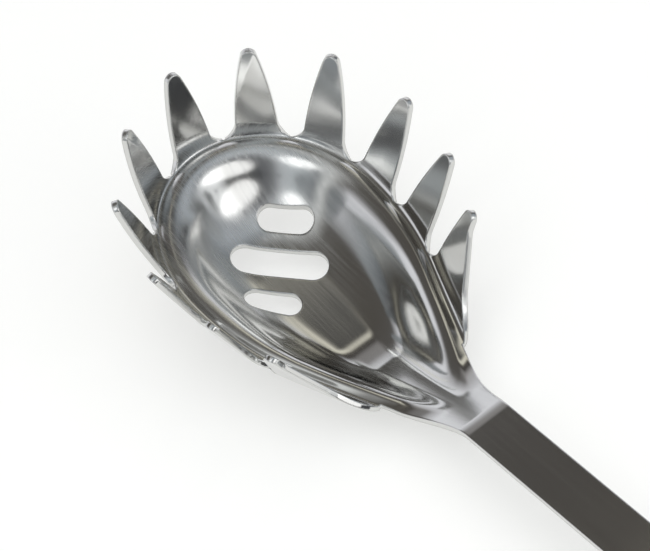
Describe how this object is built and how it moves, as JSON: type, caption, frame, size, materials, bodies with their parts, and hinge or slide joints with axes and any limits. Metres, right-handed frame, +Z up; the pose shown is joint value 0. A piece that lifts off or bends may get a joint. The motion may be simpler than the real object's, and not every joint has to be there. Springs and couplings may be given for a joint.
{
  "type": "pasta server",
  "caption": "Steel pasta server: an oval slotted bowl with upright tines round its rim, a bent neck and a flat shank, and a riveted two-scale handle with a hanging hole.",
  "frame": {"origin": "middle of the server's box in plan, at the height of the bowl's lowest point", "axes": "+X from the bowl to the butt of the handle, +Z up out of the bowl, square to the shank; +Y completes the frame"},
  "size_m": [0.3134, 0.0838, 0.0543],
  "materials": {
    "polished_steel": "polished stainless sheet",
    "black_acetal": "moulded, fine satin",
    "satin_steel": "ground flush"
  },
  "bodies": {
    "root": {"pressed_head": "polished_steel", "upper_scale": "black_acetal", "lower_scale": "black_acetal", "rivet_sleeves": "satin_steel", "rivet_pins": "satin_steel", "hanging_eyelet": "satin_steel"}
  },
  "joints": []
}
